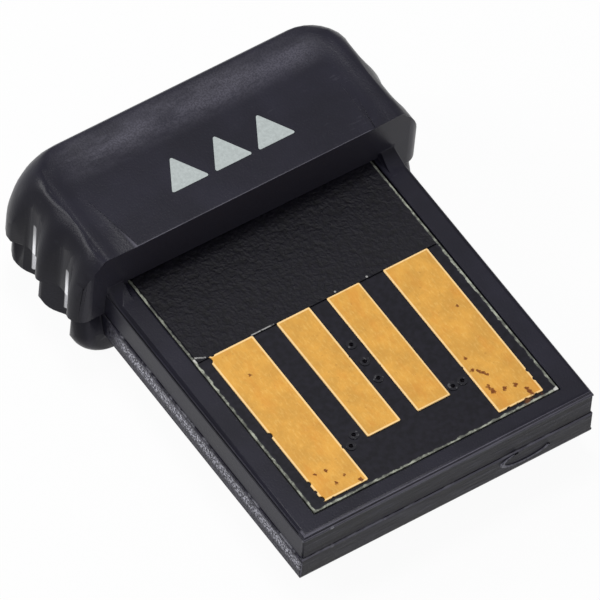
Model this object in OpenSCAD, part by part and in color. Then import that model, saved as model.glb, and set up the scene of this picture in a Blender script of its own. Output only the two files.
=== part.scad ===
// Small USB radio adapter: a dished, scalloped grip cap on a thin open contact tongue.
// Two moulded shells close along one parting line round a single circuit board.
// Millimetres, +Z up, +X across the contacts, plug tip towards -Y.
// The origin is under the middle of the adapter, on the face that the cap stands on.

/* [Tongue] */
// Length of the tongue from its tip to the front wall of the cap
tongue_l = 11.75; // [11:0.05:13]
// Width of the tongue over its rails
tongue_w = 11.57; // [11.3:0.01:12]
// Thickness of the tongue
tongue_t = 2.27; // [2.2:0.01:2.4]
// Height of the tongue's underside above the cap's underside
tongue_lift = 0.85; // [0.8:0.05:1.3]
// Height of the parting line above the tongue's underside
parting_up = 1.12; // [1:0.01:1.2]
// Width of the two rails beside the board
rail_w = 0.86; // [0.7:0.01:1]
// Width of the lip in front of the board
lip_w = 0.68; // [0.5:0.01:0.9]
// Rounding of the tongue's top edges
top_edge_r = 0.2; // [0.1:0.01:0.3]
// Rounding of the tongue's bottom edges
bottom_edge_r = 0.25; // [0.1:0.01:0.35]
// How far the lower shell stands out past the upper one at the tongue's parting line
tray_step = 0.05; // [0.02:0.01:0.08]
// Length of the ramp at the root of each rail
ramp_l = 0.75; // [0.4:0.05:1.2]
// Rise of the ramp at the root of each rail
ramp_rise = 0.28; // [0.1:0.01:0.3]
// Width of the ramp at the root of each rail
ramp_w = 0.6; // [0.4:0.05:0.6]

/* [Cap] */
// Length of the cap along the plug direction
cap_l = 5.35; // [5.3:0.05:6.5]
// Width of the cap over the side lobes
cap_w = 13.85; // [13.5:0.05:15]
// Height of the dish floor above the tongue's underside
dish_up = 4.12; // [4:0.01:4.6]
// Height of the rim above the dish floor at the back
rim_rise = 0.2; // [0.15:0.01:0.5]
// How much lower the rim is at the front wall than at the back
rim_fall = 0.13; // [0.1:0.01:0.15]
// Horizontal reach of the rounded shoulders
shoulder_w = 1.85; // [1.5:0.05:2]
// Distance from the cap's side to the top of the rim
rim_side = 0.9; // [0.8:0.05:1.1]
// Distance from the cap's side to the edge of the dish floor
dish_side = 2.3; // [1.9:0.05:2.6]
// Distance from the cap's back to the edge of the dish floor
dish_back = 2.05; // [1.9:0.05:2.4]
// Radius of the back corners seen from above
back_corner_r = 1.55; // [1.3:0.05:1.7]
// Radius of the front corners seen from above
front_corner_r = 0.6; // [0.3:0.05:0.7]
// Rounding under the cap's sides and back
belly_r = 1.15; // [0.8:0.05:1.2]
// Rounding under the cap's front edge
chin_r = 0.2; // [0.1:0.01:0.3]
// How far the cap's front stands forward at its underside
chin_out = 0.3; // [0.1:0.05:0.4]
// How far the lower shell of the cap stands in behind the upper one
cap_step = 0.18; // [0.1:0.01:0.2]

/* [Side lobes] */
// Number of lobes on each side
lobe_count = 3; // [2:1:3]
// Distance between lobes
lobe_pitch = 1.9; // [1.7:0.05:2]
// Distance from the front wall to the middle of the first lobe
lobe_start = 0.49; // [0.3:0.01:0.6]
// Width of a lobe at the bottom of its grooves
lobe_w = 1.45; // [1.2:0.05:1.6]
// Depth of the grooves between lobes in the upper shell
groove_d = 0.5; // [0.2:0.01:0.5]
// Depth of the grooves between lobes in the lower shell
lower_groove_d = 0.75; // [0.4:0.01:0.8]
// Share of the groove depth that carries on over the shoulders
groove_over = 0.4; // [0:0.05:0.6]

/* [Shells] */
// Wall of the cap at its front
cap_wall = 0.75; // [0.6:0.05:0.9]
// Wall of the cap at its sides and back, measured on the lobes
cap_side_wall = 1.35; // [1.25:0.05:1.5]
// Thickness of the cap's roof and belly
cap_skin = 0.75; // [0.6:0.05:0.9]
// Thickness of the tray's floor
tray_floor = 0.36; // [0.3:0.01:0.4]
// Width of the shelf that carries the edges of the board
shelf_w = 0.6; // [0.4:0.05:0.7]
// Clearance round the board and the shelf inside the upper shell
fit_gap = 0.06; // [0.03:0.01:0.1]
// Diameter of the two pins that locate the shells
pin_d = 0.6; // [0.4:0.05:0.6]
// Height of the locating pins above the parting line
pin_h = 0.8; // [0.5:0.1:1]
// Clearance round the pins in their sockets
pin_gap = 0.05; // [0.03:0.01:0.06]

/* [Board] */
// Thickness of the circuit board
board_t = 0.8; // [0.7:0.01:0.85]
// Clearance behind the board's back edge
board_back_gap = 0.25; // [0.1:0.05:0.4]
// Thickness of a gold contact
contact_t = 0.05; // [0.03:0.01:0.06]
// Thickness of the cover film
film_t = 0.05; // [0.03:0.01:0.06]
// Width of the bare border between the film and the board's long edges
film_border = 0.1; // [0.05:0.01:0.2]
// Distance from the tongue tip to the front end of the outer contacts
contact_tip = 0.93; // [0.92:0.01:1.2]
// Length of the outer contacts
outer_contact_l = 6.86; // [6.4:0.01:7.2]
// Width of the outer contacts
outer_contact_w = 1.78; // [1.4:0.01:1.9]
// Length of the inner contacts
inner_contact_l = 5.42; // [5:0.01:6]
// Width of the inner contacts
inner_contact_w = 1.31; // [1:0.01:1.4]
// Distance between the two inner contacts
inner_pitch = 2; // [1.9:0.01:2.1]
// Distance between the two outer contacts
outer_pitch = 7; // [6.9:0.01:7.1]
// Diameter of the holes that are plated
hole_d = 0.26; // [0.2:0.01:0.28]
// Wall of the plating in the holes
plating_t = 0.05; // [0.03:0.01:0.06]
// Width of the ring of plating round each hole
plating_ring = 0.05; // [0.03:0.01:0.06]

/* [Electronics] */
// Side of the square radio chip
radio_w = 5; // [4:0.1:5.2]
// Thickness of the radio chip's body
radio_t = 0.75; // [0.6:0.05:0.8]
// Distance between the radio chip's terminals
radio_pitch = 0.5; // [0.4:0.05:0.65]
// Thickness of the solder terminals under the chips
terminal_t = 0.05; // [0.03:0.01:0.06]
// Length of the memory chip
memory_l = 3; // [2.5:0.1:3.2]
// Width of the memory chip
memory_w = 2; // [1.6:0.1:2.2]
// Thickness of the memory chip's body
memory_t = 0.5; // [0.4:0.05:0.7]
// Side of the square voltage regulator
regulator_w = 1.6; // [1.2:0.1:1.8]
// Thickness of the voltage regulator's body
regulator_t = 0.55; // [0.4:0.05:0.7]
// Length of the crystal
crystal_l = 2; // [1.6:0.1:2.5]
// Width of the crystal
crystal_w = 1.6; // [1.2:0.1:2]
// Thickness of the crystal's case
crystal_t = 0.4; // [0.3:0.05:0.5]
// Thickness of the crystal's lid
crystal_lid_t = 0.1; // [0.08:0.01:0.15]
// Length of the chip antenna
antenna_l = 3.2; // [2.5:0.1:3.6]
// Width of the chip antenna
antenna_w = 1.6; // [1.2:0.1:1.8]
// Thickness of the chip antenna
antenna_t = 0.6; // [0.5:0.05:0.7]
// Length of the band filter
filter_l = 1.6; // [1.4:0.1:2]
// Width of the band filter
filter_w = 0.8; // [0.6:0.05:1]
// Length of a small capacitor, resistor or ferrite bead
small_l = 1; // [0.8:0.05:1]
// Width of a small capacitor, resistor or ferrite bead
small_w = 0.5; // [0.4:0.05:0.5]

/* [Hidden] */

eps = 0.01;
housing_colour = [0.10, 0.10, 0.12];
board_colour = [0.08, 0.08, 0.10];
film_colour = [0.06, 0.06, 0.08];
gold_colour = [0.87, 0.68, 0.35];
tin_colour = [0.75, 0.75, 0.77];
chip_colour = [0.05, 0.05, 0.05];
ceramic_colour = [0.85, 0.82, 0.75];
capacitor_colour = [0.62, 0.52, 0.40];
ferrite_colour = [0.25, 0.25, 0.26];

// Heights
parting_z = tongue_lift + parting_up;
tongue_top = tongue_lift + tongue_t;
board_top = tongue_top - contact_t;
board_under = board_top - board_t;
floor_z = tongue_lift + tray_floor;
dish_z = tongue_lift + dish_up;
roof_z = dish_z - cap_skin;

// Places along the plug direction
total_l = tongue_l + cap_l;
tip_y = -total_l / 2;
front_y = tip_y + tongue_l;
back_y = total_l / 2;
window_y = tip_y + lip_w;
board_y = window_y + fit_gap;
room_y = front_y + cap_wall;
room_back = back_y - cap_side_wall;
board_back = room_back - board_back_gap;
board_l = board_back - board_y;
film_y = tip_y + contact_tip + outer_contact_l;

// Widths
window_w = tongue_w - 2 * rail_w;
board_w = window_w - 2 * fit_gap;
tray_w = board_w - 2 * shelf_w;
room_w = cap_w - 2 * cap_side_wall;

// Steps of the cap's surface: per corner, per plain and lobed side, up the shoulder and round the belly
corner_n = 8;
plain_n = 4;
lobed_n = 40;
shoulder_n = 16;
belly_n = 9;
// Place on the shoulder, as a share of its reach, where the grooves have faded out
fade_end = 0.42;
// Length by which the rounded forms run past the front wall before the wall is cut
front_run = 1;
// How far the rounded forms stand outside the lobed plan that cuts them
form_over = 0.03;
// Softness of the rim where the shoulder meets the dish
rim_soft = 0.04;
// How far the shoulder curve would rise above the rim if the dish didn't cut it
shoulder_over = 0.3;
// How much tighter the back corners are at the dish than at the parting line
corner_tighten = 0.3;

// Depth of the side grooves at a place along the plug direction, as a share of the full depth:
// 0 on the lobes and past the end ones
function lobe_phase(y) = max(0, min(lobe_count - 1, (y - front_y - lobe_start) / lobe_pitch));
function from_lobe(y) = lobe_pitch * abs(lobe_phase(y) - round(lobe_phase(y)));
function groove_at(y) = (1 - cos(180 * min(1, from_lobe(y) / (lobe_w / 2)))) / 2;
function smooth(t) = let (c = max(0, min(1, t))) c * c * (3 - 2 * c);

// A corner and a straight side of the cap's outline, as [x, y, how far it faces sideways]
function corner(cx, cy, r, a) = [for (i = [0 : corner_n]) let (b = a + 90 * i / corner_n)
    [cx + r * cos(b), cy + r * sin(b), cos(b)]];
function side(x, y0, y1, s, n) = [for (i = [1 : n - 1]) [x, y0 + (y1 - y0) * i / n, s]];
// The outline of half width w from y0 to y1, anticlockwise from the front right corner
function outline(w, y0, y1, rf, rb, n) = concat(
    corner(w - rf, y0 + rf, rf, -90),
    side(w, y0 + rf, y1 - rb, 1, n),
    corner(w - rb, y1 - rb, rb, 0),
    corner(-w + rb, y1 - rb, rb, 90),
    side(-w, y1 - rb, y0 + rf, -1, n),
    corner(-w + rf, y0 + rf, rf, 180));
// The outline with its sides drawn in by grooves of depth d
function lobed(points, d) = [for (p = points)
    [p[0] - p[2] * abs(p[2]) * d * groove_at(p[1]), p[1]]];
// The outline at height z, sinking by fall towards the front
function ring(points, z, fall) = [for (p = points)
    [p[0], p[1], z - fall * smooth((back_y - p[1]) / cap_l)]];

// Solid through a stack of rings that have the same number of points
module loft(rings) {
    n = len(rings[0]);
    m = len(rings);
    bottom = [[for (i = [0 : n - 1]) i]];
    top = [[for (i = [n - 1 : -1 : 0]) (m - 1) * n + i]];
    skin = [for (j = [0 : m - 2]) for (i = [0 : n - 1]) for (h = [0, 1])
        let (a = j * n + i, b = j * n + (i + 1) % n)
        h == 0 ? [a, a + n, b] : [b, a + n, b + n]];
    polyhedron(points = [for (r = rings) for (p = r) p], faces = concat(bottom, skin, top), convexity = 6);
}

// Height of the cap's skin at an inset s from its side: a shoulder that blends into a dish
shoulder_h = dish_up + rim_rise + shoulder_over - parting_up;
function shoulder_z(s) = parting_z
    + shoulder_h * sqrt(max(0, 1 - pow(1 - min(1, s / shoulder_w), 2)));
function dish_z_at(s) = dish_z
    + rim_rise * pow(max(0, dish_side - s) / (dish_side - rim_side), 2);
function soft_min(a, b) = (a + b - sqrt(pow(a - b, 2) + 4 * pow(rim_soft, 2))) / 2;
// The back of the cap is steeper than its sides, so its inset grows more slowly at first
back_power = 1.6;
function back_inset(s) = dish_back * pow(s / dish_side, back_power);

// Upright block with the lobed plan of the cap, grooved to depth d, from z0 to z1
module lobed_block(w, y0, y1, d, z0, z1) translate([0, 0, z0]) linear_extrude(z1 - z0)
    polygon(lobed(outline(w, y0, y1, front_corner_r, back_corner_r, lobed_n), d));

// Rounded, dished pillow cut by the lobed plan, so the grooves run out on the shoulders as arches
module cap_upper_form() intersection() {
    loft([for (i = [0 : shoulder_n])
        let (t = 1 - cos(90 * i / shoulder_n), s = t * dish_side, o = form_over * (1 - t))
        ring(lobed(outline(cap_w / 2 + o - s, front_y - front_run, back_y + o - back_inset(s),
                           front_corner_r, back_corner_r - corner_tighten * t, lobed_n),
                   groove_d * groove_over * (1 - smooth(t / fade_end))),
             soft_min(shoulder_z(s), dish_z_at(s)),
             rim_fall * smooth(2 * t) * smooth(2 - 2 * t))]);
    lobed_block(cap_w / 2, front_y, back_y, groove_d, parting_z, dish_z + rim_rise + shoulder_over);
}

// Rounded belly whose front leans out towards the underside, cut by the same lobed plan
module cap_lower_form() intersection() {
    w = cap_w / 2 - cap_step;
    y1 = back_y - cap_step;
    chin_y = front_y - chin_out;
    loft(concat(
        [for (i = [0 : belly_n])
            let (a = 90 * i / belly_n, s = belly_r * (1 - sin(a)) - form_over,
                 z = belly_r * (1 - cos(a)))
            ring(outline(w - s, chin_y + chin_r * (1 - sin(a)) + chin_out * z / parting_z,
                         y1 - s, front_corner_r, back_corner_r, plain_n), z, 0)],
        [ring(outline(w + form_over, front_y + cap_step, y1 + form_over,
                      front_corner_r, back_corner_r, plain_n), parting_z, 0)]));
    lobed_block(w, chin_y - front_run, y1, lower_groove_d, 0, parting_z);
}

// Plate from y = 0 whose outer edges are rounded at the top, as one half of the tongue
module round_top_plate(w, l, h, r) intersection() {
    translate([0, l, 0]) rotate([90, 0, 0]) linear_extrude(l) round_top_profile(w, h, r);
    translate([-w, 0, 0]) rotate([90, 0, 90]) linear_extrude(2 * w)
        translate([l, 0]) round_top_profile(2 * l, h, r);
}
module round_top_profile(w, h, r) {
    translate([-w / 2, 0]) square([w, h - r]);
    translate([-w / 2 + r, 0]) square([w - 2 * r, h]);
    for (s = [-1, 1]) translate([s * (w / 2 - r), h - r]) circle(r = r, $fn = 32);
}

module upper_housing() color(housing_colour) difference() {
    union() {
        cap_upper_form();
        translate([0, tip_y, parting_z])
            round_top_plate(tongue_w, tongue_l + cap_wall, tongue_top - parting_z, top_edge_r);
        rail_ramps();
    }
    board_window();
    cap_room_upper();
    locating_pins(pin_gap);
}
// Wedge at the root of each rail, rising to the front wall just inside the rail's outer edge
ramp_inset = 0.06;
ramp_x = tongue_w / 2 - ramp_inset - ramp_w / 2;
module rail_ramps() for (s = [-1, 1]) translate([s * ramp_x - ramp_w / 2, front_y, tongue_top])
    rotate([90, 0, 90]) linear_extrude(ramp_w)
        polygon([[-ramp_l, 0], [-ramp_l, -top_edge_r], [cap_wall / 2, -top_edge_r],
                 [cap_wall / 2, ramp_rise], [0, ramp_rise]]);
// Pins in the cap's side walls at the middle lobes, or their sockets when gap is given
module locating_pins(gap) for (s = [-1, 1])
    translate([s * (cap_w / 2 - cap_side_wall / 2), front_y + lobe_start + lobe_pitch, parting_z - eps])
        cylinder(d = pin_d + 2 * gap, h = pin_h + gap + eps, $fn = 32);
module board_window() translate([-window_w / 2, window_y, parting_z - eps])
    cube([window_w, room_back - window_y, tongue_top + fit_gap - parting_z + eps]);
module cap_room_upper() translate([-room_w / 2, room_y, parting_z - eps])
    cube([room_w, room_back - room_y, roof_z - parting_z + eps]);

module lower_housing() color(housing_colour) difference() {
    union() {
        cap_lower_form();
        tray();
        shelf();
        locating_pins(0);
    }
    tray_room();
    cap_room_lower();
}
module tray() translate([0, tip_y - tray_step, parting_z]) mirror([0, 0, 1])
    round_top_plate(tongue_w + 2 * tray_step, tongue_l + cap_wall, parting_up, bottom_edge_r);
module shelf() translate([-board_w / 2, board_y, parting_z - eps])
    cube([board_w, board_l, board_under - parting_z + eps]);
module tray_room() translate([-tray_w / 2, board_y + shelf_w, floor_z])
    cube([tray_w, board_l - 2 * shelf_w, board_top]);
module cap_room_lower() translate([-room_w / 2 + shelf_w, room_y, cap_skin])
    cube([room_w - 2 * shelf_w, board_back - shelf_w - room_y, board_top]);

// Holes of the board, from the tongue tip: pairs beside the outer contacts, a row between the inner ones
hole_places = [[-2.33, 2.36], [-2, 2.69], [1.93, 2.64], [2.32, 2.67], [0, 4.2], [0, 5], [0, 5.8]];
module at_holes() for (p = hole_places) translate([p[0], tip_y + p[1], 0]) children();

module circuit_board() color(board_colour) difference() {
    translate([-board_w / 2, board_y, board_under]) cube([board_w, board_l, board_t]);
    at_holes() translate([0, 0, board_under - eps]) cylinder(d = hole_d, h = board_t + 2 * eps, $fn = 24);
}
module plated_holes() color(gold_colour) at_holes() difference() {
    union() {
        translate([0, 0, board_under]) cylinder(d = hole_d, h = board_t, $fn = 24);
        translate([0, 0, board_top])
            cylinder(d = hole_d + 2 * plating_ring, h = plating_t / 2, $fn = 24);
    }
    translate([0, 0, board_under - eps])
        cylinder(d = hole_d - 2 * plating_t, h = board_t + plating_t + 2 * eps, $fn = 24);
}
module cover_film() color(film_colour) translate([-board_w / 2 + film_border, film_y, board_top])
    cube([board_w - 2 * film_border, room_y - film_y, film_t]);

module contact(x, w, l) color(gold_colour)
    translate([x - w / 2, film_y - l, board_top]) cube([w, l, contact_t]);
module outer_contact_left() contact(-outer_pitch / 2, outer_contact_w, outer_contact_l);
module inner_contact_left() contact(-inner_pitch / 2, inner_contact_w, inner_contact_l);
module inner_contact_right() contact(inner_pitch / 2, inner_contact_w, inner_contact_l);
module outer_contact_right() contact(outer_pitch / 2, outer_contact_w, outer_contact_l);

// Box centred in plan, hanging down from height z
module hang(w, l, t, z) translate([-w / 2, -l / 2, z - t]) cube([w, l, t]);
// Box centred in plan, standing on height z
module stand(w, l, t, z) translate([-w / 2, -l / 2, z]) cube([w, l, t]);

// Clearances between the parts that hang below the board
small_gap = 0.25;
chip_gap = 0.6;

// Rows below the board, from the shelf at its front: small parts, the radio chip, the other chips
front_row_y = board_y + shelf_w + small_gap + small_l / 2;
radio_y = front_row_y + small_l / 2 + small_gap + radio_w / 2;
chip_row_y = radio_y + radio_w / 2 + chip_gap;
chip_z = board_under - terminal_t;
// Length of a chip's terminals, and the radio chip's middle pad as a share of the chip
terminal_l = 0.4;
pad_share = 0.6;

// Terminals along the two ends of a chip, n at each
module end_terminals(w, l, n) for (s = [-1, 1]) for (i = [0 : n - 1])
    translate([(i - (n - 1) / 2) * w / n, s * (l - terminal_l) / 2, 0])
        hang(w / n / 2, terminal_l, terminal_t, board_under);

module radio_chip() color(chip_colour) translate([0, radio_y, 0]) hang(radio_w, radio_w, radio_t, chip_z);
radio_edge_n = floor((radio_w - 2 * terminal_l) / radio_pitch);
module radio_terminals() color(tin_colour) translate([0, radio_y, 0]) {
    hang(radio_w * pad_share, radio_w * pad_share, terminal_t, board_under);
    for (a = [0 : 90 : 270]) rotate([0, 0, a]) for (i = [0 : radio_edge_n - 1])
        translate([(i - (radio_edge_n - 1) / 2) * radio_pitch, (radio_w - terminal_l) / 2, 0])
            hang(radio_pitch / 2, terminal_l, terminal_t, board_under);
}

regulator_y = chip_row_y + regulator_w / 2;
module voltage_regulator() color(chip_colour) translate([0, regulator_y, 0])
    hang(regulator_w, regulator_w, regulator_t, chip_z);
module regulator_terminals() color(tin_colour) translate([0, regulator_y, 0])
    end_terminals(regulator_w, regulator_w, 3);

memory_x = -regulator_w / 2 - 2 * chip_gap - memory_w / 2;
memory_y = chip_row_y + memory_l / 2;
module memory_chip() color(chip_colour) translate([memory_x, memory_y, 0])
    hang(memory_w, memory_l, memory_t, chip_z);
module memory_terminals() color(tin_colour) translate([memory_x, memory_y, 0])
    end_terminals(memory_w, memory_l, 4);

// How far the crystal's lid stands in from the edges of its case
lid_inset = 0.1;
crystal_x = regulator_w / 2 + 2 * chip_gap + crystal_w / 2;
crystal_y = chip_row_y + crystal_l / 2;
module crystal_case() color(ceramic_colour) translate([crystal_x, crystal_y, 0])
    hang(crystal_w, crystal_l, crystal_t, board_under);
module crystal_lid() color(tin_colour) translate([crystal_x, crystal_y, 0])
    hang(crystal_w - 2 * lid_inset, crystal_l - 2 * lid_inset, crystal_lid_t, board_under - crystal_t);

// Small parts with a metal cap on each end, in columns beside the radio chip and in the front row
end_l = 0.2;
end_over = 0.02;
capacitor_t = 0.48;
resistor_t = 0.33;
column_x = radio_w / 2 + chip_gap + small_w / 2;
capacitor_places = [for (s = [-1, 1]) for (i = [-1.5 : 1.5])
    [s * column_x, radio_y + i * (small_l + small_gap)]];
resistor_places = [for (i = [-1 : 1]) [i * (2 * small_w + small_gap), front_row_y]];
bead_places = [for (s = [-1, 1]) [s * column_x, front_row_y]];
module at_places(places) for (p = places) translate([p[0], p[1], 0]) rotate([0, 0, 90]) children();
module small_bodies(places, t) at_places(places)
    hang(small_l - 2 * end_l, small_w - 2 * end_over, t, board_under);
module small_ends(places, t) at_places(places) for (s = [-1, 1])
    translate([s * (small_l - end_l) / 2, 0, 0]) hang(end_l, small_w, t + end_over, board_under);

module capacitors() color(capacitor_colour) small_bodies(capacitor_places, capacitor_t);
module capacitor_terminals() color(tin_colour) small_ends(capacitor_places, capacitor_t);
module resistors() color(chip_colour) small_bodies(resistor_places, resistor_t);
module resistor_terminals() color(tin_colour) small_ends(resistor_places, resistor_t);
module ferrite_beads() color(ferrite_colour) small_bodies(bead_places, capacitor_t);
module bead_terminals() color(tin_colour) small_ends(bead_places, capacitor_t);

// The aerial and its filter stand on the board inside the cap, clear of the board's and the room's edges
antenna_gap = 0.3;
filter_gap = 0.8;
antenna_x = (min(board_w, room_w) - antenna_l) / 2 - antenna_gap;
antenna_y = board_back - antenna_gap - antenna_w / 2;
filter_x = antenna_x - antenna_l / 2 - filter_gap - filter_l / 2;
module stood_body(w, l, t) stand(w - 2 * end_l, l - 2 * end_over, t, board_top);
module stood_ends(w, l, t) for (s = [-1, 1])
    translate([s * (w - end_l) / 2, 0, 0]) stand(end_l, l, t + end_over, board_top);
module chip_antenna() color(ceramic_colour) translate([antenna_x, antenna_y, 0])
    stood_body(antenna_l, antenna_w, antenna_t);
module antenna_terminals() color(tin_colour) translate([antenna_x, antenna_y, 0])
    stood_ends(antenna_l, antenna_w, antenna_t);
module band_filter() color(chip_colour) translate([filter_x, antenna_y, 0])
    stood_body(filter_l, filter_w, antenna_t);
module filter_terminals() color(tin_colour) translate([filter_x, antenna_y, 0])
    stood_ends(filter_l, filter_w, antenna_t);

upper_housing();
lower_housing();
circuit_board();
cover_film();
plated_holes();
outer_contact_left();
inner_contact_left();
inner_contact_right();
outer_contact_right();
radio_chip();
radio_terminals();
memory_chip();
memory_terminals();
voltage_regulator();
regulator_terminals();
crystal_case();
crystal_lid();
chip_antenna();
antenna_terminals();
band_filter();
filter_terminals();
ferrite_beads();
bead_terminals();
capacitors();
capacitor_terminals();
resistors();
resistor_terminals();
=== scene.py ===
"""Small USB radio adapter: finishes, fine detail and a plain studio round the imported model."""

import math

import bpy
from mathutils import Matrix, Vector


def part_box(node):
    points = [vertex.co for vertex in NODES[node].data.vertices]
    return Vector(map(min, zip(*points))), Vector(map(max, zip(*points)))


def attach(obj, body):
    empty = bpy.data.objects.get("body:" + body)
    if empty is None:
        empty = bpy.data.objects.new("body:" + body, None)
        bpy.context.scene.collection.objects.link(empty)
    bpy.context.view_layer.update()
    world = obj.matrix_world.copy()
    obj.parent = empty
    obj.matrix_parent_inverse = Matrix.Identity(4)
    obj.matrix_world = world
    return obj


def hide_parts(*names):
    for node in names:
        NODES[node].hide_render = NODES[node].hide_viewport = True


bl_info = {
    "name": "Radio adapter",
    "version": (1, 0, 0),
    "blender": (4, 5, 0),
    "location": "View3D > Sidebar > Adapter",
    "description": "Finishes and fine detail for a small USB radio adapter",
    "category": "Add Mesh",
}

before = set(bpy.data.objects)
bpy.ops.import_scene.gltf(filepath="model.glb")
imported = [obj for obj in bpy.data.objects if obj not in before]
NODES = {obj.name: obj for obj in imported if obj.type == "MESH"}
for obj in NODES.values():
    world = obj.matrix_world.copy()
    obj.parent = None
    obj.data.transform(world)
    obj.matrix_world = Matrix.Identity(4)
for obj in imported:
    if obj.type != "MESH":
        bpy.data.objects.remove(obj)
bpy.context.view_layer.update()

MM = 0.001
CONTACTS = ("outer_contact_left", "inner_contact_left", "inner_contact_right", "outer_contact_right")
# The datum is on the tongue's top, midway across, where the contacts end towards the cap.
# Places in mm below are measured from it.
DATUM = Vector((0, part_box(CONTACTS[0])[1].y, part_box(CONTACTS[0])[1].z))
TONGUE_T = 2.27
PARTING = 1.12 - TONGUE_T
DISH = 4.12 - TONGUE_T
FRONT_WALL = 3.96
TIP = -7.79


def tint(red, green, blue):
    """A colour given as on a screen, 0 to 255, as linear values."""
    def linear(value):
        value /= 255
        return value / 12.92 if value <= 0.04045 else ((value + 0.055) / 1.055) ** 2.4
    return (linear(red), linear(green), linear(blue))


def shade(colour, factor):
    return tuple(min(1.0, value * factor) for value in colour)


def at(x, y, z):
    """A place in mm from the datum, in metres."""
    return DATUM + Vector((x, y, z)) * MM


# ---- sizes and colours that a user may change

class AdapterSizes(bpy.types.PropertyGroup):
    """Sizes of the fine detail."""
    edge: bpy.props.FloatProperty(
        name="Shell edge", description="Rounding of the shells' sharp edges",
        default=0.05 * MM, min=0, unit="LENGTH", precision=6)
    contact_corner: bpy.props.FloatProperty(
        name="Contact corner", description="Rounding of a contact's corners seen from above",
        default=0.05 * MM, min=0, unit="LENGTH", precision=6)
    contact_edge: bpy.props.FloatProperty(
        name="Contact edge", description="Rounding of a contact's top edge",
        default=0.045 * MM, min=0, unit="LENGTH", precision=6)
    mark_length: bpy.props.FloatProperty(
        name="Mark length", description="Length of the row of arrowheads across the dish",
        default=4.9 * MM, min=0, unit="LENGTH", precision=6)
    mark_height: bpy.props.FloatProperty(
        name="Mark height", description="Height of an arrowhead",
        default=1.45 * MM, min=0, unit="LENGTH", precision=6)
    ink: bpy.props.FloatProperty(
        name="Ink", description="Thickness of the printed ink",
        default=0.012 * MM, min=0, unit="LENGTH", precision=6)
    scar_wire: bpy.props.FloatProperty(
        name="Scar ridge", description="Radius of the moulding scar's ridge",
        default=0.04 * MM, min=0, unit="LENGTH", precision=6)


class AdapterColours(bpy.types.PropertyGroup):
    """Colours of the finishes."""
    housing: bpy.props.FloatVectorProperty(
        name="Housing", description="Moulded shells", subtype="COLOR", default=tint(27, 26, 37))
    board: bpy.props.FloatVectorProperty(
        name="Board", description="Resist on the board", subtype="COLOR", default=tint(18, 17, 25))
    border: bpy.props.FloatVectorProperty(
        name="Board edge", description="Bare edge of the board", subtype="COLOR",
        default=tint(178, 182, 166))
    film: bpy.props.FloatVectorProperty(
        name="Film", description="Grained film", subtype="COLOR", default=tint(9, 8, 15))
    gold: bpy.props.FloatVectorProperty(
        name="Gold", description="Plating of the contacts", subtype="COLOR",
        default=tint(206, 152, 62))
    ink: bpy.props.FloatVectorProperty(
        name="Ink", description="Printed mark", subtype="COLOR", default=tint(176, 184, 182))


class AdapterLights(bpy.types.PropertyGroup):
    """Levels of the studio."""
    key: bpy.props.FloatProperty(
        name="Key", description="Power of the soft light at the back left", default=0.08, min=0)
    top: bpy.props.FloatProperty(
        name="Top", description="Power of the soft light overhead", default=0.06, min=0)
    around: bpy.props.FloatProperty(
        name="Around", description="Level of the light from all round", default=0.35, min=0)


# ---- shader maths

class Sock:
    """An output of a shader node. Arithmetic on it adds Math nodes."""

    def __init__(self, paint, socket):
        self.paint = paint
        self.socket = socket

    def math(self, operation, *values):
        return self.paint.node("ShaderNodeMath", {"operation": operation}, *values)

    def __add__(self, other):
        return self.math("ADD", self, other)

    def __sub__(self, other):
        return self.math("SUBTRACT", self, other)

    def __rsub__(self, other):
        return self.math("SUBTRACT", other, self)

    def __mul__(self, other):
        return self.math("MULTIPLY", self, other)

    def __neg__(self):
        return self.math("MULTIPLY", self, -1.0)

    def __abs__(self):
        return self.math("ABSOLUTE", self)

    __radd__ = __add__
    __rmul__ = __mul__

    def above(self, low, high):
        """0 below low, 1 above high, and smooth between them."""
        return self.paint.node("ShaderNodeMapRange", {"interpolation_type": "SMOOTHSTEP"},
                               self, low, high, 0.0, 1.0)

    def below(self, low, high):
        return 1 - self.above(low, high)

    def near(self, middle, reach):
        """1 at a value, falling to 0 at that reach from it."""
        return abs(self - middle).below(reach * 0.4, reach)

    def most(self, other):
        return self.math("MAXIMUM", self, other)


class Graph:
    """A node tree, and the one method that adds nodes to it."""

    def __init__(self, tree):
        self.tree = tree
        self.tree.nodes.clear()

    def node(self, kind, settings, *values, out=0):
        """Any node: its settings first, then the values or links of its sockets in order."""
        made = self.tree.nodes.new(kind)
        for key, value in (settings or {}).items():
            setattr(made, key, value)
        for socket, value in zip([socket for socket in made.inputs if socket.enabled], values):
            if isinstance(value, Sock):
                self.tree.links.new(value.socket, socket)
            else:
                socket.default_value = value
        if isinstance(out, str):
            return Sock(self, made.outputs[out])
        outputs = [socket for socket in made.outputs if socket.enabled]
        return Sock(self, outputs[out]) if outputs else None

    def seen(self):
        """1 for what the camera sees, also in a reflection or through glass."""
        rays = [self.node("ShaderNodeLightPath", None, out=name)
                for name in ("Is Camera Ray", "Is Glossy Ray", "Is Transmission Ray")]
        return rays[0].most(rays[1]).most(rays[2])


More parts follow.
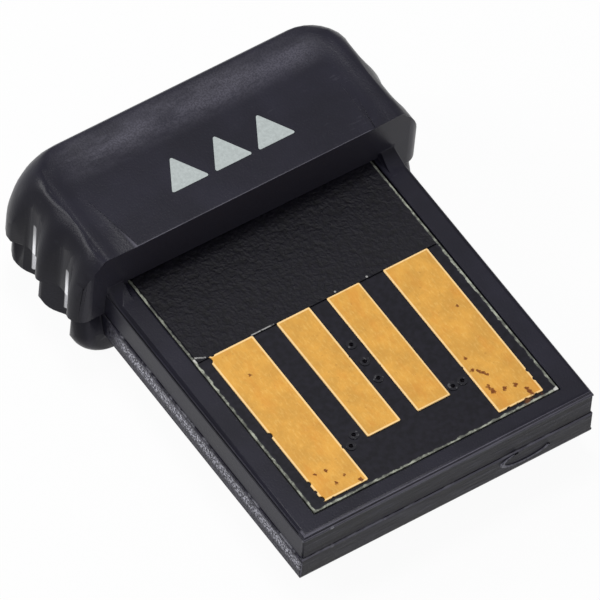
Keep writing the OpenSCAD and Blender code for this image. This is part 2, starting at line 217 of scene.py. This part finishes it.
class Paint(Graph):
    """A material with one Principled shader, and the place on the object in mm from the datum."""

    def __init__(self, name, roughness, specular, metallic=0.0, coat=0.0):
        self.material = bpy.data.materials.new(name)
        self.material.use_nodes = True
        super().__init__(self.material.node_tree)
        self.shader = self.tree.nodes.new("ShaderNodeBsdfPrincipled")
        self.shader.inputs["Roughness"].default_value = roughness
        self.shader.inputs["Metallic"].default_value = metallic
        self.shader.inputs["Coat Weight"].default_value = coat
        self.shader.inputs["Specular IOR Level"].default_value = specular
        out = self.tree.nodes.new("ShaderNodeOutputMaterial")
        self.tree.links.new(self.shader.outputs[0], out.inputs[0])
        self.place = self.node("ShaderNodeMapping", None,
                               self.node("ShaderNodeTexCoord", None, out="Object"),
                               tuple(-value / MM for value in DATUM), (0, 0, 0), (1 / MM,) * 3)
        self.x, self.y, self.z = self.parts(self.place)

    def parts(self, vector):
        return [self.node("ShaderNodeSeparateXYZ", None, vector, out=axis) for axis in range(3)]

    def vector(self, operation, *values):
        return self.node("ShaderNodeVectorMath", {"operation": operation}, *values)

    def facing(self):
        """The three parts of the surface's direction."""
        return self.parts(self.node("ShaderNodeTexCoord", None, out="Normal"))

    def scaled(self, x, y, z):
        """The place in mm, stretched along each axis."""
        return self.vector("MULTIPLY", self.place, (x, y, z))

    def noise(self, scale, detail=3.0, rough=0.55, at=None, out=0):
        """Cloudy noise: its value, or its colour with out=1."""
        return self.node("ShaderNodeTexNoise", {"noise_dimensions": "3D"},
                         at or self.place, scale, detail, rough, out=out)

    def cells(self, scale, at=None):
        return self.node("ShaderNodeTexVoronoi", {"feature": "SMOOTH_F1"}, at or self.place, scale)

    def mix(self, share, first, second):
        """A colour between two, by share."""
        made = self.tree.nodes.new("ShaderNodeMix")
        made.data_type = "RGBA"
        for index, value in ((0, share), (6, first), (7, second)):
            if isinstance(value, Sock):
                self.tree.links.new(value.socket, made.inputs[index])
            else:
                made.inputs[index].default_value = value if index == 0 else (*value[:3], 1)
        return Sock(self, made.outputs[2])

    def bend(self, scale, reach):
        """Makes the marks that follow irregular, by moving their places up to that far in mm."""
        cloud = self.vector("SUBTRACT", self.noise(scale, 3.0, out=1), (0.5, 0.5, 0.5))
        self.place = self.vector("MULTIPLY_ADD", cloud, (2 * reach, 2 * reach, 0.0), self.place)
        self.x, self.y, self.z = self.parts(self.place)

    def spot(self, x, y, z, radius):
        """A round mark of that radius in mm, with a soft rim."""
        return self.vector("DISTANCE", self.place, (x, y, z)).below(radius * 0.6, radius)

    def spots(self, marks):
        found = self.spot(*marks[0])
        for mark in marks[1:]:
            found = found.most(self.spot(*mark))
        return found

    def stroke(self, start, end, width):
        """A straight mark from start to end, with soft sides."""
        along = Vector(end) - Vector(start)
        offset = self.vector("SUBTRACT", self.place, tuple(start))
        share = self.vector("DOT_PRODUCT", offset, tuple(along / along.length_squared))
        share = self.node("ShaderNodeClamp", None, share, 0.0, 1.0)
        nearest = self.vector("SCALE", tuple(along), share)
        return self.vector("DISTANCE", offset, nearest).below(width * 0.5, width)

    def strokes(self, marks):
        found = self.stroke(*marks[0])
        for mark in marks[1:]:
            found = found.most(self.stroke(*mark))
        return found

    def feed(self, **links):
        for name, value in links.items():
            self.tree.links.new(value.socket, self.shader.inputs[name.replace("_", " ")])

    def bump(self, height, depth):
        """Relief of that depth in mm, from a height of 0 to 1."""
        relief = self.tree.nodes.new("ShaderNodeBump")
        relief.inputs["Strength"].default_value = 1.0
        relief.inputs["Distance"].default_value = depth * MM
        self.tree.links.new(height.socket, relief.inputs["Height"])
        self.tree.links.new(relief.outputs[0], self.shader.inputs["Normal"])


# ---- finishes

# Small chips on the tongue's front edges
CHIPS = [(-4.65, TIP, -0.17, 0.09), (-4.6, TIP - 0.05, PARTING, 0.1), (-2.5, TIP - 0.05, PARTING, 0.07)]
# Bright worn strokes along the parting line of the front face
SEAM_WEAR = [((-4.9, TIP - 0.05, PARTING), (-4.35, TIP - 0.05, PARTING + 0.02), 0.05),
             ((-2.75, TIP - 0.05, PARTING), (-2.3, TIP - 0.05, PARTING + 0.03), 0.04)]
# Painted highlights: narrow pale glints at the bottom of the grooves on the left
PAINTED_GLINTS = [((-6.425, 7.3, 0.25), (-6.425, 7.25, -1.15), 0.11),
          ((-6.08, 7.66, -1.3), (-6.06, 7.64, -2.6), 0.11),
          ((-6.425, 5.33, 0.05), (-6.425, 5.29, -1.15), 0.11),
          ((-6.04, 5.74, -1.3), (-6.03, 5.73, -2.6), 0.11)]


def moulded_black(colours):
    """Satin black moulding: fine grain, painted highlights at the creases and in the grooves, painted
    sparkle under the tongue's side, painted shade on the cap's sides.
    """
    paint = Paint("moulded_black", 0.36, 0.13)
    faces_x, faces_y, faces_z = paint.facing()
    cloud = paint.noise(0.45)
    grain = paint.noise(16.0, 2.0)
    patch = paint.noise(0.9)
    on_tongue = paint.y.below(3.6, 3.8)
    on_front = paint.y.below(TIP + 0.05, TIP + 0.12)
    under = paint.z.below(PARTING - 0.02, PARTING + 0.02)
    # The side of the lower shell: a band of painted sparkle highlights over a mottled one
    side = under * on_tongue * abs(faces_x).above(0.5, 0.8)
    crumbs = paint.noise(13.0, 4.0, 0.7)
    band = paint.z.near(-1.5, 0.3) * paint.y.below(2.6, 3.4)
    sparkle_highlight = side * (band * crumbs.above(0.47, 0.6)).most(crumbs.above(0.62, 0.72) * 0.3)
    mottle = side * paint.noise(6.0, 4.0, 0.7).above(0.4, 0.62)
    # The front face: a painted highlight line, painted shade bands, a painted highlight broken along the
    # parting line with worn strokes, and chips
    highlight_line, shade_bands = paint.z.near(-0.18, 0.05), paint.z.near(-0.37, 0.1).most(paint.z.near(-0.92, 0.1))
    seam_highlight_and_wear = paint.z.near(PARTING, 0.05) * paint.noise(1.3, 4.0, 0.7).above(0.48, 0.62)
    seam_highlight_and_wear = (seam_highlight_and_wear * on_tongue).most(paint.strokes(SEAM_WEAR)).most(paint.spots(CHIPS))
    # Painted highlights along the creases: over the cap's front wall and round the tongue's top
    turned = (-faces_y).above(0.2, 0.4) * faces_z.above(0.2, 0.4)
    crease_highlight = turned * paint.y.above(FRONT_WALL - 0.2, FRONT_WALL - 0.1) * paint.z.above(0.9, 1.1)
    lip_edge_highlight = turned * paint.y.below(TIP + 0.3, TIP + 0.4)
    ridge = on_front * paint.y.below(TIP - 0.075, TIP - 0.06)
    scuff = paint.noise(3.0, 4.0, 0.6, at=paint.scaled(0.5, 3.0, 3.0)).above(0.62, 0.72)
    scuff = scuff * patch.above(0.5, 0.65)
    # A painted sheen: a paler, rougher band along the slope at the back of the dish
    dish_sheen = abs(paint.y - 8.0).below(0.0, 1.05) * abs(paint.x).below(4.2, 5.6)
    streak = paint.noise(0.9, 4.0, 0.65, at=paint.scaled(0.6, 1.8, 1.0)).above(0.3, 0.62)
    dish_sheen = dish_sheen * faces_z.above(0.9, 0.97) * (0.5 + grain.above(0.4, 0.6) * 0.5) * (0.4 + streak)
    # The front face is uneven in long streaks
    flow = paint.noise(1.6, 5.0, 0.7, at=paint.scaled(0.5, 1.0, 5.0))
    # Painted shade: the cap's sides facing left and right are made darker
    sides = abs(faces_x).above(0.5, 0.9) * paint.y.above(3.9, 4.0)
    painted_glint = paint.strokes(PAINTED_GLINTS) * (0.3 + paint.z.below(-1.0, 0.25) * 0.7)
    colour = paint.mix(cloud.above(0.35, 0.7), shade(colours.housing, 0.85),
                       shade(colours.housing, 1.2))
    # Painted light: the cap's front wall is made a little paler, in place of light falling on it
    wall_fill_light = (-faces_y).above(0.8, 0.95) * paint.y.near(FRONT_WALL, 0.2)
    # Painted shade on the cap's sides
    colour = paint.mix(sides * 0.6, colour, shade(colours.housing, 0.3))
    # Painted light on the cap's front wall
    colour = paint.mix(wall_fill_light * 0.8, colour, tint(56, 55, 64))
    # Painted sheen on the dish's back slope
    colour = paint.mix(dish_sheen * 0.28, colour, tint(120, 118, 130))
    colour = paint.mix(mottle * 0.3, colour, tint(104, 102, 114))
    # Painted sparkle highlights on the lower shell's side
    colour = paint.mix(sparkle_highlight * 0.7, colour, tint(225, 225, 236))
    colour = paint.mix(on_front * flow.below(0.36, 0.52) * 0.7, colour, shade(colours.housing, 0.2))
    colour = paint.mix(on_front * flow.above(0.52, 0.7) * 0.16, colour, tint(120, 119, 136))
    # Painted shade bands and a painted highlight line across the front face
    colour = paint.mix(on_front * shade_bands * 0.6, colour, shade(colours.housing, 0.3))
    colour = paint.mix(on_front * highlight_line * 0.2, colour, tint(150, 150, 162))
    colour = paint.mix(scuff * 0.08, colour, tint(120, 120, 130))
    # Painted highlight along the parting line, with worn strokes and chips
    colour = paint.mix(seam_highlight_and_wear * 0.4, colour, tint(190, 190, 198))
    colour = paint.mix(ridge * crumbs.above(0.38, 0.6) * 0.7, colour, tint(170, 170, 180))
    # Painted highlights on the creases and the lip's edge
    colour = paint.mix((crease_highlight * (0.3 + patch * 0.4)).most(lip_edge_highlight * (0.3 + patch * 0.5)), colour,
                       tint(138, 136, 148))
    # Painted highlights in the grooves on the left
    colour = paint.mix(painted_glint, colour, (0.95, 0.95, 0.97))
    paint.feed(Base_Color=colour,
               Roughness=0.27 + cloud * 0.1 + scuff * 0.1 + mottle * 0.12 + dish_sheen * 0.15)
    paint.bump(grain * 0.5 + mottle * 1.2 + cloud * 0.4 + on_front * flow * 1.5, 0.012)
    return paint.material


def board_resist(colours):
    """Black resist with a bare, broken pale edge along the board's outline."""
    paint = Paint("board_resist", 0.3, 0.12)
    low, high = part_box("circuit_board")
    half = (high.x - low.x) / 2 / MM
    front = (low.y - DATUM.y) / MM
    worn = paint.noise(2.4, 5.0, 0.75)
    mottle = paint.noise(5.0)
    paint.bend(4.0, 0.09)
    edge = abs(paint.x).above(half - 0.09, half - 0.05)
    edge = edge.most((paint.y - front).below(0.05, 0.09))
    stain = paint.spot(3.9, -7.0, 0.0, 0.5) * paint.noise(4.0).above(0.45, 0.6)
    ends = paint.spots([(half - 0.06, front + 0.06, -0.05, 0.11), (-half + 0.08, 0.12, -0.05, 0.11)])
    colour = paint.mix(mottle.above(0.3, 0.7), shade(colours.board, 0.8), shade(colours.board, 1.5))
    colour = paint.mix(stain * 0.6, colour, tint(122, 74, 36))
    colour = paint.mix(edge * (0.25 + worn.above(0.42, 0.62) * 0.75), colour, colours.border)
    colour = paint.mix(ends * 0.8, colour, tint(225, 225, 218))
    paint.feed(Base_Color=colour, Roughness=0.26 + mottle * 0.12 + edge * 0.3)
    paint.bump(mottle, 0.004)
    return paint.material


def grained_film(colours):
    """Black film with an uneven leathery grain and a few painted highlights along its cut end."""
    paint = Paint("grained_film", 0.5, 0.14)
    warp = paint.noise(2.0, 2.0)
    bent = paint.vector("MULTIPLY_ADD", paint.noise(3.5, 2.0, out=1), (0.3, 0.3, 0.3), paint.place)
    pebble = paint.cells(7.0, at=bent)
    fine = paint.noise(14.0, 3.0)
    breakup = paint.noise(7.0, 4.0, 0.7)
    # Painted highlights along the film's cut end
    edge_glints = paint.strokes([((-2.62, 0.02, 0), (-1.75, 0.02, 0), 0.035),
                          ((-4.95, 0.3, 0), (-4.45, 0.06, 0), 0.04)])
    edge_glints = (edge_glints * breakup.above(0.36, 0.56)).most(paint.spots([(0.75, 0.08, 0, 0.045),
                                                             (2.0, 0.05, 0, 0.05)]))
    colour = paint.mix(pebble.above(0.25, 0.75), shade(colours.film, 1.6), shade(colours.film, 0.75))
    colour = paint.mix(edge_glints * 0.75, colour, tint(185, 185, 182))
    paint.feed(Base_Color=colour, Roughness=0.42 + warp * 0.16)
    paint.bump(1 - pebble * 0.9 + fine * 0.5 + warp * 0.3, 0.03)
    return paint.material


# Pits in the plating
PITS = [(-3.63, -5.85, 0, 0.1), (-3.6, -6.45, 0, 0.09), (-2.83, -6.75, 0, 0.09), (-4.0, -5.8, 0, 0.06),
        (-3.58, -1.3, 0, 0.07), (2.9, -4.45, 0, 0.08), (2.83, -4.95, 0, 0.09), (3.0, -5.1, 0, 0.08),
        (3.33, -6.15, 0, 0.1), (3.72, -6.2, 0, 0.1), (3.9, -2.5, 0, 0.07), (-3.2, -6.3, 0, 0.06)]
STREAKS = [((2.88, -5.75, 0), (2.95, -6.1, 0), 0.09), ((3.95, -6.5, 0), (4.0, -6.8, 0), 0.09),
           ((3.05, -5.2, 0), (3.15, -5.35, 0), 0.06)]


def gold_plate(colours, contact):
    """Matt gold plating with a painted highlight along its rim, drawn streaks, dull patches and brown pits.
    """
    paint = Paint(contact + "_gold", 0.5, 0.3, metallic=0.25)
    low, high = ((corner - DATUM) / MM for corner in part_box(contact))
    reach_x = abs(paint.x - (low.x + high.x) / 2) - (high.x - low.x) / 2
    reach_y = abs(paint.y - (low.y + high.y) / 2) - (high.y - low.y) / 2
    drawn = paint.noise(5.0, 4.0, 0.65, at=paint.scaled(2.5, 0.8, 1.0))
    patch = paint.noise(1.1, 5.0, 0.65)
    crumb = paint.noise(11.0, 3.0, 0.7).above(0.34, 0.5)
    fleck = paint.noise(6.0, 3.0, 0.6).above(0.63, 0.72) * 0.3
    rim_highlight = reach_x.most(reach_y).above(-0.08, -0.05)
    tarnish = paint.noise(0.8, 5.0, 0.7, at=paint.scaled(1.6, 0.7, 1.0)).above(0.5, 0.66)
    paint.bend(8.0, 0.13)
    pits = paint.spots(PITS).most(paint.strokes(STREAKS)) * (0.5 + crumb * 0.5)
    colour = paint.mix(patch.above(0.32, 0.68), shade(colours.gold, 0.86), shade(colours.gold, 1.06))
    colour = paint.mix(drawn.above(0.48, 0.72) * 0.35, colour, tint(226, 188, 108))
    colour = paint.mix(drawn.below(0.3, 0.44) * 0.3, colour, tint(190, 126, 42))
    colour = paint.mix(tarnish * 0.4, colour, tint(196, 126, 36))
    # Painted highlight along the contact's rim
    colour = paint.mix(rim_highlight * 0.65, colour, tint(246, 216, 158))
    colour = paint.mix(fleck, colour, tint(150, 88, 30))
    colour = paint.mix(pits * 0.9, colour, tint(108, 46, 10))
    paint.feed(Base_Color=colour, Roughness=0.46 + drawn * 0.12 + pits * 0.25)
    paint.bump(drawn * 0.3 + patch * 0.4 - pits * 0.3, 0.01)
    return paint.material


def covered_hole(colours):
    """A plated hole under black resist, with a faint broken painted highlight on its ring and its inside
    painted pale in place of its shade.
    """
    paint = Paint("covered_hole", 0.4, 0.15)
    # Painted light: the inside of the hole is made pale, where it would lie in shade
    inside = paint.z.below(-0.12, -0.06)
    # Painted highlight on the ring
    painted_glint = paint.noise(8.0, 2.0).above(0.58, 0.66)
    colour = paint.mix(painted_glint * 0.3, colours.board, tint(140, 140, 142))
    colour = paint.mix(inside * 0.8, colour, tint(104, 100, 108))
    paint.feed(Base_Color=colour, Roughness=0.34 + painted_glint * 0.1)
    paint.bump(painted_glint, 0.006)
    return paint.material


def tinned(colours):
    """Bright tin with the uneven surface of solder."""
    paint = Paint("tinned", 0.35, 0.5, metallic=1.0)
    drop = paint.noise(5.0, 3.0)
    paint.feed(Base_Color=paint.mix(drop, tint(176, 176, 180), tint(222, 222, 226)),
               Roughness=0.26 + drop * 0.2)
    paint.bump(drop, 0.02)
    return paint.material


def stone(name, dark, light, roughness):
    """A fired or moulded body with a speckled surface."""
    paint = Paint(name, roughness, 0.4)
    speck = paint.noise(14.0, 3.0, 0.7)
    cloud = paint.noise(2.0)
    colour = paint.mix((speck * 0.6 + cloud * 0.4).above(0.35, 0.65), dark, light)
    paint.feed(Base_Color=colour, Roughness=roughness - 0.06 + speck * 0.14)
    paint.bump(speck, 0.008)
    return paint.material


def printed_ink(colours):
    """Pale printing ink, thinner in places."""
    paint = Paint("printed_ink", 0.5, 0.4)
    worn = paint.noise(8.0, 4.0, 0.7)
    colour = paint.mix(worn.above(0.3, 0.75), shade(colours.ink, 0.86), shade(colours.ink, 1.08))
    paint.feed(Base_Color=colour, Roughness=0.44 + worn * 0.14)
    paint.bump(worn, 0.006)
    return paint.material


# ---- handling of objects

def alone(piece):
    """Selects one object and makes it the active one."""
    bpy.ops.object.select_all(action="DESELECT")
    piece.select_set(True)
    bpy.context.view_layer.objects.active = piece


def apply_modifier(piece, kind, **settings):
    alone(piece)
    modifier = piece.modifiers.new(kind.title(), kind)
    for key, value in settings.items():
        setattr(modifier, key, value)
    bpy.ops.object.modifier_apply(modifier=modifier.name)


def finish_piece(piece, name, material, replaced=()):
    """Settles a piece at the origin, names it, paints it and makes it ride on the part."""
    alone(piece)
    bpy.ops.object.transform_apply(location=True, rotation=True, scale=True)
    piece.name = name
    piece.data.name = name
    piece.data.materials.clear()
    piece.data.materials.append(material)
    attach(piece, "root")
    if replaced:
        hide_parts(*replaced)


def copy_of_node(name):
    """A merged copy of a CAD node, free to shape."""
    alone(NODES[name])
    bpy.ops.object.duplicate(linked=False)
    piece = bpy.context.active_object
    piece.parent = None
    bpy.ops.object.mode_set(mode="EDIT")
    bpy.ops.mesh.select_all(action="SELECT")
    bpy.ops.mesh.remove_doubles(threshold=0.002 * MM)
    bpy.ops.mesh.dissolve_limited(angle_limit=math.radians(1))
    bpy.ops.object.mode_set(mode="OBJECT")
    return piece


def ease_long_edges(piece, width):
    """Bevels the long sharp edges. Short ones stay, because a bevel there would spike out."""
    mesh = piece.data
    sides = {}
    for face in mesh.polygons:
        for key in face.edge_keys:
            sides.setdefault(key, []).append(face.normal.copy())
    weights = mesh.attributes.new("bevel_weight_edge", "FLOAT", "EDGE")
    for edge in mesh.edges:
        first, second = (mesh.vertices[i].co for i in edge.vertices)
        normals = sides.get(edge.key, [])
        if len(normals) == 2 and (first - second).length > 0.25 * MM:
            if normals[0].angle(normals[1], 0) > math.radians(50):
                weights.data[edge.index].value = 1.0
    apply_modifier(piece, "BEVEL", width=width, segments=1, limit_method="WEIGHT",
                   use_clamp_overlap=False)


def block(low, high):
    """A box from corner to corner."""
    bpy.ops.object.select_all(action="DESELECT")
    bpy.ops.mesh.primitive_cube_add(size=1, location=(low + high) / 2)
    piece = bpy.context.active_object
    piece.scale = high - low
    bpy.ops.object.transform_apply(location=True, rotation=True, scale=True)
    return piece


def carry_on(nodes, material):
    """Gives CAD nodes that stay as they are a better material."""
    for name in nodes:
        node = NODES[name]
        node.data.materials.clear()
        node.data.materials.append(material)


# ---- operators

class ADAPTER_OT_shells(bpy.types.Operator):
    """The two moulded shells, with their sharp edges eased."""
    bl_idname = "adapter.shells"
    bl_label = "Moulded shells"

    def execute(self, context):
        scene = context.scene
        material = moulded_black(scene.adapter_colours)
        for name in ("upper_housing", "lower_housing"):
            piece = copy_of_node(name)
            ease_long_edges(piece, scene.adapter_sizes.edge)
            alone(piece)
            bpy.ops.object.shade_smooth_by_angle(angle=math.radians(30))
            apply_modifier(piece, "WEIGHTED_NORMAL", mode="FACE_AREA", weight=50, keep_sharp=True)
            finish_piece(piece, name + "_eased", material, (name,))
        return {"FINISHED"}


# Bites in the contacts' edges: place in mm from the datum and radius
BITES = {
    "outer_contact_left": [(-4.42, -3.7, 0.13), (-4.42, -6.0, 0.11), (-4.41, -6.4, 0.08),
                           (-4.4, -6.74, 0.13), (-4.45, -0.12, 0.17), (-4.2, 0.03, 0.08),
                           (-2.58, -5.35, 0.07), (-4.0, -6.89, 0.06)],
    "inner_contact_left": [(-0.33, -2.4, 0.04)],
    "inner_contact_right": [(0.32, -3.2, 0.045)],
    "outer_contact_right": [(3.0, -6.9, 0.09), (3.35, -6.9, 0.06), (3.7, -6.9, 0.09), (4.1, -6.9, 0.08),
                            (4.42, -5.9, 0.08), (4.42, -6.3, 0.08), (2.58, -4.7, 0.06)],
}


class ADAPTER_OT_contacts(bpy.types.Operator):
    """The four gilt contacts, with rounded corners and worn edges, and the plated holes."""
    bl_idname = "adapter.contacts"
    bl_label = "Gilt contacts"

    def bite(self, piece, x, y, radius):
        bpy.ops.object.select_all(action="DESELECT")
        bpy.ops.mesh.primitive_cylinder_add(vertices=9, radius=radius * MM, depth=1 * MM,
                                            location=at(x, y, 0), rotation=(0, 0, x * 7))
        tool = bpy.context.active_object
        apply_modifier(piece, "BOOLEAN", operation="DIFFERENCE", object=tool, solver="EXACT")
        bpy.data.objects.remove(tool)

    def execute(self, context):
        scene = context.scene
        sizes = scene.adapter_sizes
        for name in CONTACTS:
            piece = block(*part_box(name))
            bpy.ops.object.mode_set(mode="EDIT")
            bpy.ops.mesh.select_mode(type="EDGE")
            bpy.ops.mesh.select_all(action="DESELECT")
            bpy.ops.object.mode_set(mode="OBJECT")
            for edge in piece.data.edges:
                first, second = (piece.data.vertices[i].co for i in edge.vertices)
                edge.select = abs(first.z - second.z) > 0.01 * MM
            bpy.ops.object.mode_set(mode="EDIT")
            bpy.ops.mesh.bevel(offset=sizes.contact_corner, segments=4, affect="EDGES")
            bpy.ops.object.mode_set(mode="OBJECT")
            for place in BITES[name]:
                self.bite(piece, *place)
            if not piece.data.polygons:
                raise RuntimeError(name + " has lost its faces")
            apply_modifier(piece, "BEVEL", width=sizes.contact_edge, segments=2,
                           limit_method="ANGLE", angle_limit=math.radians(60))
            alone(piece)
            bpy.ops.object.shade_smooth_by_angle(angle=math.radians(20))
            finish_piece(piece, name + "_plate", gold_plate(scene.adapter_colours, name),
                         (name,))
        carry_on(("plated_holes",), covered_hole(scene.adapter_colours))
        return {"FINISHED"}


class ADAPTER_OT_board(bpy.types.Operator):
    """The finish of the circuit board and its film."""
    bl_idname = "adapter.board"
    bl_label = "Board and film"

    def execute(self, context):
        colours = context.scene.adapter_colours
        carry_on(("circuit_board",), board_resist(colours))
        carry_on(("cover_film",), grained_film(colours))
        return {"FINISHED"}


class ADAPTER_OT_inner(bpy.types.Operator):
    """The finishes of the chips and small parts inside."""
    bl_idname = "adapter.inner"
    bl_label = "Inner parts"

    def execute(self, context):
        colours = context.scene.adapter_colours
        carry_on([name for name in NODES if name.endswith("_terminals")] + ["crystal_lid"],
                 tinned(colours))
        carry_on(("radio_chip", "memory_chip", "voltage_regulator", "band_filter", "resistors"),
                 stone("moulded_epoxy", tint(22, 22, 23), tint(46, 46, 48), 0.55))
        carry_on(("crystal_case", "chip_antenna"),
                 stone("pale_ceramic", tint(206, 200, 184), tint(232, 228, 216), 0.6))
        carry_on(("capacitors",), stone("tan_ceramic", tint(150, 122, 92), tint(178, 152, 120), 0.45))
        carry_on(("ferrite_beads",), stone("grey_ferrite", tint(58, 58, 60), tint(84, 84, 88), 0.5))
        return {"FINISHED"}


class ADAPTER_OT_mark(bpy.types.Operator):
    """Three plain arrowheads printed on the dish."""
    bl_idname = "adapter.mark"
    bl_label = "Printed mark"

    def execute(self, context):
        scene = context.scene
        sizes = scene.adapter_sizes
        pitch = (sizes.mark_length - sizes.mark_height) / 2
        heads = []
        for step in (-1, 0, 1):
            bpy.ops.object.select_all(action="DESELECT")
            bpy.ops.mesh.primitive_cylinder_add(
                vertices=3, radius=sizes.mark_height * 0.6, depth=2 * sizes.ink,
                location=at(0, 5.6, DISH) + Vector((step * pitch, 0, 0)))
            head = bpy.context.active_object
            apply_modifier(head, "BEVEL", width=0.12 * MM, segments=4, limit_method="ANGLE",
                           angle_limit=math.radians(100))
            heads.append(head)
        alone(heads[0])
        for head in heads:
            head.select_set(True)
        bpy.ops.object.join()
        finish_piece(heads[0], "printed_mark", printed_ink(scene.adapter_colours))
        return {"FINISHED"}


class ADAPTER_OT_scar(bpy.types.Operator):
    """The curved moulding scar on the tongue's front face."""
    bl_idname = "adapter.scar"
    bl_label = "Moulding scar"

    def execute(self, context):
        scene = context.scene
        face = (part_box("lower_housing")[0].y - DATUM.y) / MM
        centre = at(3.15, face, 0.78 - TONGUE_T)
        bpy.ops.object.select_all(action="DESELECT")
        bpy.ops.mesh.primitive_torus_add(
            major_radius=0.4 * MM, minor_radius=scene.adapter_sizes.scar_wire,
            major_segments=48, minor_segments=10, location=centre, rotation=(math.pi / 2, 0, 0))
        scar = bpy.context.active_object
        scar.scale = (2.4, 0.8, 1.2)
        bpy.ops.object.transform_apply(location=True, rotation=True, scale=True)
        bpy.ops.object.mode_set(mode="EDIT")
        bpy.ops.mesh.select_all(action="SELECT")
        bpy.ops.mesh.bisect(plane_co=centre + Vector((0, 0, 0.1 * MM)), plane_no=(0.3, 0, 1),
                            use_fill=True, clear_outer=True)
        bpy.ops.object.mode_set(mode="OBJECT")
        alone(scar)
        bpy.ops.object.shade_smooth_by_angle(angle=math.radians(50))
        finish_piece(scar, "moulding_scar", bpy.data.materials["moulded_black"])
        return {"FINISHED"}


# The photograph's view: right, down and forward, its scale in pixels per mm, and where the
# point under the datum on the tongue's underside stands in a picture of 600 by 600
VIEW = Matrix(((0.82797867, -0.55714252, 0.06358872),
               (-0.41539114, -0.68555786, -0.59788011),
               (0.37669818, 0.46861779, -0.79905935)))
VIEW_SCALE = 30.091
VIEW_POINT = (313.224, 343.540)
PICTURE = 600
LENS_RANGE = 0.5


class ADAPTER_OT_stage(bpy.types.Operator):
    """The floor, the soft lights and the camera."""
    bl_idname = "adapter.stage"
    bl_label = "Studio"

    def floor(self):
        bpy.ops.object.select_all(action="DESELECT")
        bpy.ops.mesh.primitive_plane_add(size=1.2, location=(0, 0, -0.00002))
        floor = bpy.context.active_object
        floor.name = "floor"
        material = bpy.data.materials.new("floor_white")
        material.use_nodes = True
        graph = Graph(material.node_tree)
        plain = graph.node("ShaderNodeBsdfDiffuse", None, (0.8, 0.8, 0.8, 1))
        glow = graph.node("ShaderNodeEmission", None, (1, 1, 1, 1), 1.0)
        graph.node("ShaderNodeOutputMaterial", None,
                   graph.node("ShaderNodeMixShader", None, graph.seen() * 0.95, plain, glow))
        floor.data.materials.append(material)

    def world(self, levels):
        world = bpy.data.worlds.new("studio")
        bpy.context.scene.world = world
        world.use_nodes = True
        graph = Graph(world.node_tree)
        around = graph.node("ShaderNodeBackground", None, (0.95, 0.95, 1, 1), levels.around)
        white = graph.node("ShaderNodeBackground", None, (1, 1, 1, 1), 1.0)
        graph.node("ShaderNodeOutputWorld", None,
                   graph.node("ShaderNodeMixShader", None, graph.seen(), around, white))

    def lamp(self, name, power, size, where):
        """A square soft light that looks at the part."""
        bpy.ops.object.select_all(action="DESELECT")
        bpy.ops.object.light_add(type="AREA", location=where)
        lamp = bpy.context.active_object
        lamp.name = name
        lamp.data.energy = power
        lamp.data.size = size
        lamp.rotation_euler = (-Vector(where)).to_track_quat("-Z", "Y").to_euler()

    def camera(self):
        bpy.ops.object.select_all(action="DESELECT")
        bpy.ops.object.camera_add()
        camera = bpy.context.active_object
        right, down, ahead = (Vector(row) for row in VIEW)
        offset = [(PICTURE / 2 - VIEW_POINT[i]) / VIEW_SCALE * MM for i in (0, 1)]
        target = at(0, 0, -TONGUE_T) + right * offset[0] + down * offset[1]
        camera.matrix_world = Matrix.Translation(target - ahead * LENS_RANGE) @ \
            Matrix((right, -down, -ahead)).transposed().to_4x4()
        camera.data.sensor_width = 36
        camera.data.lens = 36 * LENS_RANGE / (PICTURE / VIEW_SCALE * MM)
        camera.data.clip_start = 0.01
        camera.data.clip_end = 10
        bpy.context.scene.camera = camera

    def execute(self, context):
        scene = context.scene
        scene.view_settings.view_transform = "Standard"
        levels = scene.adapter_lights
        self.floor()
        self.world(levels)
        self.lamp("key", levels.key, 0.05, (-0.085, 0.07, 0.065))
        self.lamp("top", levels.top, 0.03, (0.008, 0.03, 0.115))
        self.camera()
        return {"FINISHED"}


class ADAPTER_PT_panel(bpy.types.Panel):
    """Lists the pieces of the adapter and their sizes and colours."""
    bl_idname = "ADAPTER_PT_panel"
    bl_label = "Adapter"
    bl_space_type = "VIEW_3D"
    bl_region_type = "UI"
    bl_category = "Adapter"

    def draw(self, context):
        layout = self.layout
        for operator in OPERATORS:
            layout.operator(operator.bl_idname)
        for group in (context.scene.adapter_sizes, context.scene.adapter_colours,
                      context.scene.adapter_lights):
            for key in group.__annotations__:
                layout.prop(group, key)


OPERATORS = (ADAPTER_OT_shells, ADAPTER_OT_contacts, ADAPTER_OT_board, ADAPTER_OT_inner,
             ADAPTER_OT_mark, ADAPTER_OT_scar, ADAPTER_OT_stage)
CLASSES = (AdapterSizes, AdapterColours, AdapterLights, *OPERATORS, ADAPTER_PT_panel)


def register():
    for made in CLASSES:
        bpy.utils.register_class(made)
    bpy.types.Scene.adapter_sizes = bpy.props.PointerProperty(type=AdapterSizes)
    bpy.types.Scene.adapter_colours = bpy.props.PointerProperty(type=AdapterColours)
    bpy.types.Scene.adapter_lights = bpy.props.PointerProperty(type=AdapterLights)


def unregister():
    for key in ("adapter_sizes", "adapter_colours", "adapter_lights"):
        delattr(bpy.types.Scene, key)
    for made in reversed(CLASSES):
        bpy.utils.unregister_class(made)


def main():
    register()
    bpy.ops.adapter.stage()
    bpy.ops.adapter.shells()
    bpy.ops.adapter.contacts()
    bpy.ops.adapter.board()
    bpy.ops.adapter.inner()
    bpy.ops.adapter.mark()
    bpy.ops.adapter.scar()


if __name__ == "__main__":
    main()
